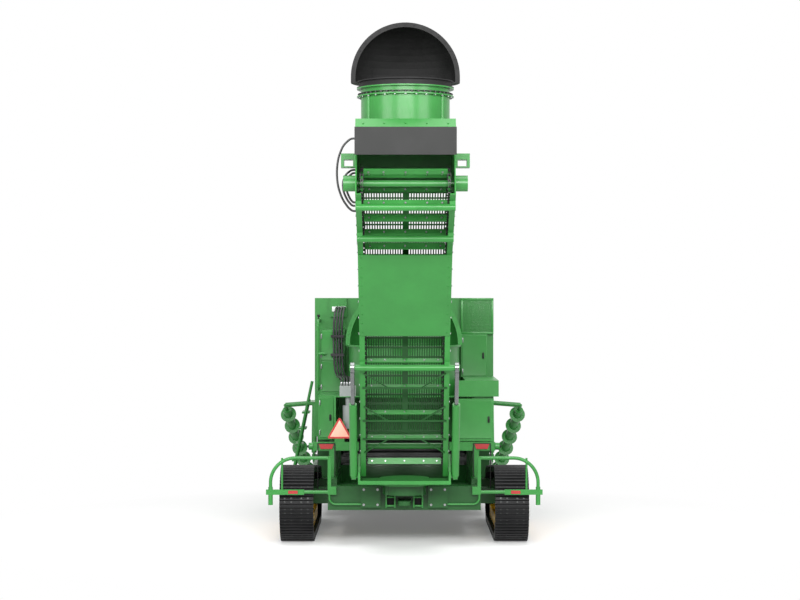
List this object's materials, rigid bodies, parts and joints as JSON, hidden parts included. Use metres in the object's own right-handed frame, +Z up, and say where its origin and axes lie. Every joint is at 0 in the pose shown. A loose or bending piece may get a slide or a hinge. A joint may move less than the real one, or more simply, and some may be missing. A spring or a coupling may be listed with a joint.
{
  "type": "tracked two-row sugarcane harvester",
  "caption": "Tracked sugarcane harvester with front scrolls and topper, base cutters, cab, leaf extractors and a slewing billet elevator at the rear.",
  "frame": {"origin": "on the ground under the middle of the whole machine's box", "axes": "+Y forward, +X to the machine's right, +Z up"},
  "size_m": [4.2042, 13.2999, 6.7481],
  "materials": {
    "green_paint": "satin green paint",
    "yellow_paint": "satin yellow paint",
    "track_steel": "black steel shoes",
    "black_hood": "moulded black hood",
    "grey_flap": "dark grey flap",
    "glass": "tinted cab glass",
    "seat_fabric": "dark seat fabric",
    "engine_iron": "cast engine",
    "bright_rod": "chromed cylinder rod",
    "red_lens": "red lens",
    "sign_red": "blank reflective sign",
    "black_plastic": "black plastic",
    "grey_metal": "bare grey steel",
    "black_hose": "black hose"
  },
  "bodies": {
    "chassis": {"base_cutter_gearbox": "green_paint", "body_hoses": "black_hose", "cab_glass": "glass", "cab_platform": "green_paint", "cab_seat": "seat_fabric", "cab_shell": "green_paint", "engine_block": "engine_iron", "engine_enclosure": "green_paint", "handrail": "green_paint", "ladder": "green_paint", "lamp_bars": "green_paint", "left_cabinet": "green_paint", "main_frame": "green_paint", "mirrors": "black_plastic", "primary_extractor": "green_paint", "rear_beam": "green_paint", "rear_guards": "green_paint", "right_cabinet": "green_paint", "slow_vehicle_sign": "sign_red", "tail_lamps": "red_lens", "track_axles": "yellow_paint", "track_frame_left": "yellow_paint", "track_frame_right": "yellow_paint", "track_left": "track_steel", "track_right": "track_steel", "valve_block": "grey_metal"},
    "slew": {"slew_table": "green_paint"},
    "elevator": {"elevator_side_left": "green_paint", "elevator_side_right": "green_paint", "elevator_floor": "green_paint", "elevator_chain": "green_paint", "elevator_slats": "green_paint", "elevator_cross_bars": "green_paint", "elevator_cover": "green_paint", "elevator_drive": "green_paint", "secondary_extractor": "green_paint"},
    "lift_barrels": {"lift_barrels": "green_paint"},
    "lift_rods": {"lift_rods": "bright_rod"},
    "flap": {"bin_flap": "grey_flap"},
    "secondary_hood": {"secondary_hood": "black_hood"},
    "secondary_fan": {"secondary_fan": "grey_metal"},
    "primary_hood": {"primary_hood": "green_paint"},
    "primary_fan": {"primary_fan": "grey_metal"},
    "cab_door": {"cab_door": "green_paint", "door_glass": "glass"},
    "topper_boom": {"topper_boom": "green_paint"},
    "topper_head": {"topper_head": "green_paint"},
    "topper_drum_left": {"topper_drum_left": "green_paint"},
    "topper_drum_right": {"topper_drum_right": "green_paint"},
    "knockdown_roller": {"knockdown_roller": "green_paint"},
    "crop_divider_left": {"crop_divider_left": "green_paint"},
    "crop_divider_right": {"crop_divider_right": "green_paint"},
    "base_cutter_1": {"base_cutter_1": "grey_metal"},
    "base_cutter_2": {"base_cutter_2": "grey_metal"},
    "base_cutter_3": {"base_cutter_3": "grey_metal"},
    "base_cutter_4": {"base_cutter_4": "grey_metal"},
    "outer_scroll_left": {"outer_scroll_left": "green_paint"},
    "outer_scroll_right": {"outer_scroll_right": "green_paint"},
    "inner_scroll_left": {"inner_scroll_left": "green_paint"},
    "inner_scroll_right": {"inner_scroll_right": "green_paint"}
  },
  "joints": [
    {"name": "elevator_slew", "type": "hinge", "parent": "chassis", "child": "slew", "pos_m": [0, -2.45, 0.9], "axis": [0, 0, 1], "range_deg": [-85, 85]},
    {"name": "elevator_lift", "type": "hinge", "parent": "slew", "child": "elevator", "pos_m": [0, -2.64149, 1.20646], "axis": [-1, 0, 0], "range_deg": [-16, 4]},
    {"name": "lift_barrel_swing", "type": "hinge", "parent": "slew", "child": "lift_barrels", "pos_m": [0, -2.9, 1.01], "axis": [-1, 0, 0], "range_deg": [-16.5, 4.5]},
    {"name": "lift_rod_slide", "type": "slide", "parent": "lift_barrels", "child": "lift_rods", "axis": [0, -0.4854, 0.8743], "range_m": [-0.1, 0.03]},
    {"name": "bin_flap_swing", "type": "hinge", "parent": "elevator", "child": "flap", "pos_m": [0, -6.6, 5.4], "axis": [-1, 0, 0], "range_deg": [0, 60]},
    {"name": "secondary_hood_turn", "type": "hinge", "parent": "elevator", "child": "secondary_hood", "pos_m": [0, -5.88, 6], "axis": [0, 0, 1], "continuous": true},
    {"name": "secondary_fan_spin", "type": "hinge", "parent": "elevator", "child": "secondary_fan", "pos_m": [0, -5.88, 5.77], "axis": [0, 0, 1], "continuous": true},
    {"name": "primary_hood_turn", "type": "hinge", "parent": "chassis", "child": "primary_hood", "pos_m": [0, -0.9, 2.8], "axis": [0, 0, 1], "continuous": true},
    {"name": "primary_fan_spin", "type": "hinge", "parent": "chassis", "child": "primary_fan", "pos_m": [0, -0.9, 2.46], "axis": [0, 0, 1], "continuous": true},
    {"name": "cab_door_swing", "type": "hinge", "parent": "chassis", "child": "cab_door", "pos_m": [-0.87, 2.92, 2.5], "axis": [0, 0, 1], "range_deg": [0, 70]},
    {"name": "topper_raise", "type": "hinge", "parent": "chassis", "child": "topper_boom", "pos_m": [0, 4.56, 1.65], "axis": [1, 0, 0], "range_deg": [-15, 30]},
    {"name": "topper_level", "type": "hinge", "parent": "topper_boom", "child": "topper_head", "pos_m": [0, 5.65, 2.75], "axis": [1, 0, 0], "range_deg": [-31, 16]},
    {"name": "topper_drum_left_spin", "type": "hinge", "parent": "topper_head", "child": "topper_drum_left", "pos_m": [-0.62, 6.2, 2.5], "axis": [0, 0, 1], "continuous": true},
    {"name": "topper_drum_right_spin", "type": "hinge", "parent": "topper_head", "child": "topper_drum_right", "pos_m": [0.62, 6.2, 2.5], "axis": [0, 0, 1], "continuous": true},
    {"name": "base_cutter_1_spin", "type": "hinge", "parent": "chassis", "child": "base_cutter_1", "pos_m": [-1.06, 2.65, 0.3], "axis": [0, 0, 1], "continuous": true},
    {"name": "base_cutter_2_spin", "type": "hinge", "parent": "chassis", "child": "base_cutter_2", "pos_m": [-0.44, 2.65, 0.3], "axis": [0, 0, 1], "continuous": true},
    {"name": "base_cutter_3_spin", "type": "hinge", "parent": "chassis", "child": "base_cutter_3", "pos_m": [0.44, 2.65, 0.3], "axis": [0, 0, 1], "continuous": true},
    {"name": "base_cutter_4_spin", "type": "hinge", "parent": "chassis", "child": "base_cutter_4", "pos_m": [1.06, 2.65, 0.3], "axis": [0, 0, 1], "continuous": true},
    {"name": "knockdown_roller_spin", "type": "hinge", "parent": "chassis", "child": "knockdown_roller", "pos_m": [0, 4.48, 0.85], "axis": [1, 0, 0], "continuous": true},
    {"name": "crop_divider_left_raise", "type": "hinge", "parent": "chassis", "child": "crop_divider_left", "pos_m": [-1.51, 3.9, 0.75], "axis": [1, 0, 0], "range_deg": [0, 14]},
    {"name": "outer_scroll_left_spin", "type": "hinge", "parent": "crop_divider_left", "child": "outer_scroll_left", "pos_m": [-1.67, 5.9, 0.26], "axis": [-0.1612, -0.7557, 0.6348], "continuous": true},
    {"name": "inner_scroll_left_spin", "type": "hinge", "parent": "crop_divider_left", "child": "inner_scroll_left", "pos_m": [-1.35, 5.9, 0.26], "axis": [0.145, -0.7614, 0.6319], "continuous": true},
    {"name": "crop_divider_right_raise", "type": "hinge", "parent": "chassis", "child": "crop_divider_right", "pos_m": [1.51, 3.9, 0.75], "axis": [1, 0, 0], "range_deg": [0, 14]},
    {"name": "outer_scroll_right_spin", "type": "hinge", "parent": "crop_divider_right", "child": "outer_scroll_right", "pos_m": [1.67, 5.9, 0.26], "axis": [0.1612, -0.7557, 0.6348], "continuous": true},
    {"name": "inner_scroll_right_spin", "type": "hinge", "parent": "crop_divider_right", "child": "inner_scroll_right", "pos_m": [1.35, 5.9, 0.26], "axis": [-0.145, -0.7614, 0.6319], "continuous": true}
  ],
  "couplings": [
    {"joint": "lift_barrel_swing", "follows": "elevator_lift", "ratio": 0.992},
    {"joint": "lift_rod_slide", "follows": "elevator_lift", "m_per_rad": 0.324},
    {"joint": "topper_level", "follows": "topper_raise", "ratio": -1}
  ]
}
